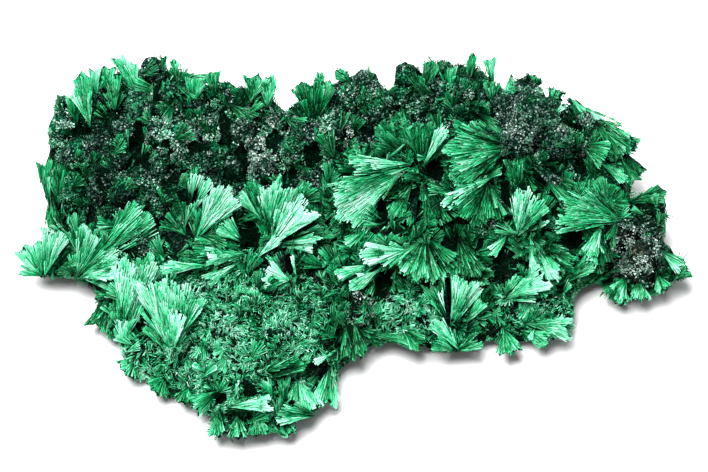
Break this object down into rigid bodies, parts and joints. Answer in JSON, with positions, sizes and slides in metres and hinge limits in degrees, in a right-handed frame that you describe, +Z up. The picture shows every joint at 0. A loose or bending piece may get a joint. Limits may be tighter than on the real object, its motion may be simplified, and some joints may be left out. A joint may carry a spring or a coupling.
{
  "type": "fibrous malachite specimen",
  "caption": "Flattish crust of fibrous malachite, with sprays of green needles and druse-covered knobs on a rough flat-bottomed matrix.",
  "frame": {"origin": "middle of the bounding box at the level of the flat underside that the specimen lies on", "axes": "+X to the right along the long side, +Y to the back where the crust is thickest, +Z up"},
  "size_m": [0.0849, 0.051, 0.0197],
  "materials": {
    "malachite": "satin"
  },
  "bodies": {
    "root": {"malachite": "malachite"}
  },
  "joints": []
}
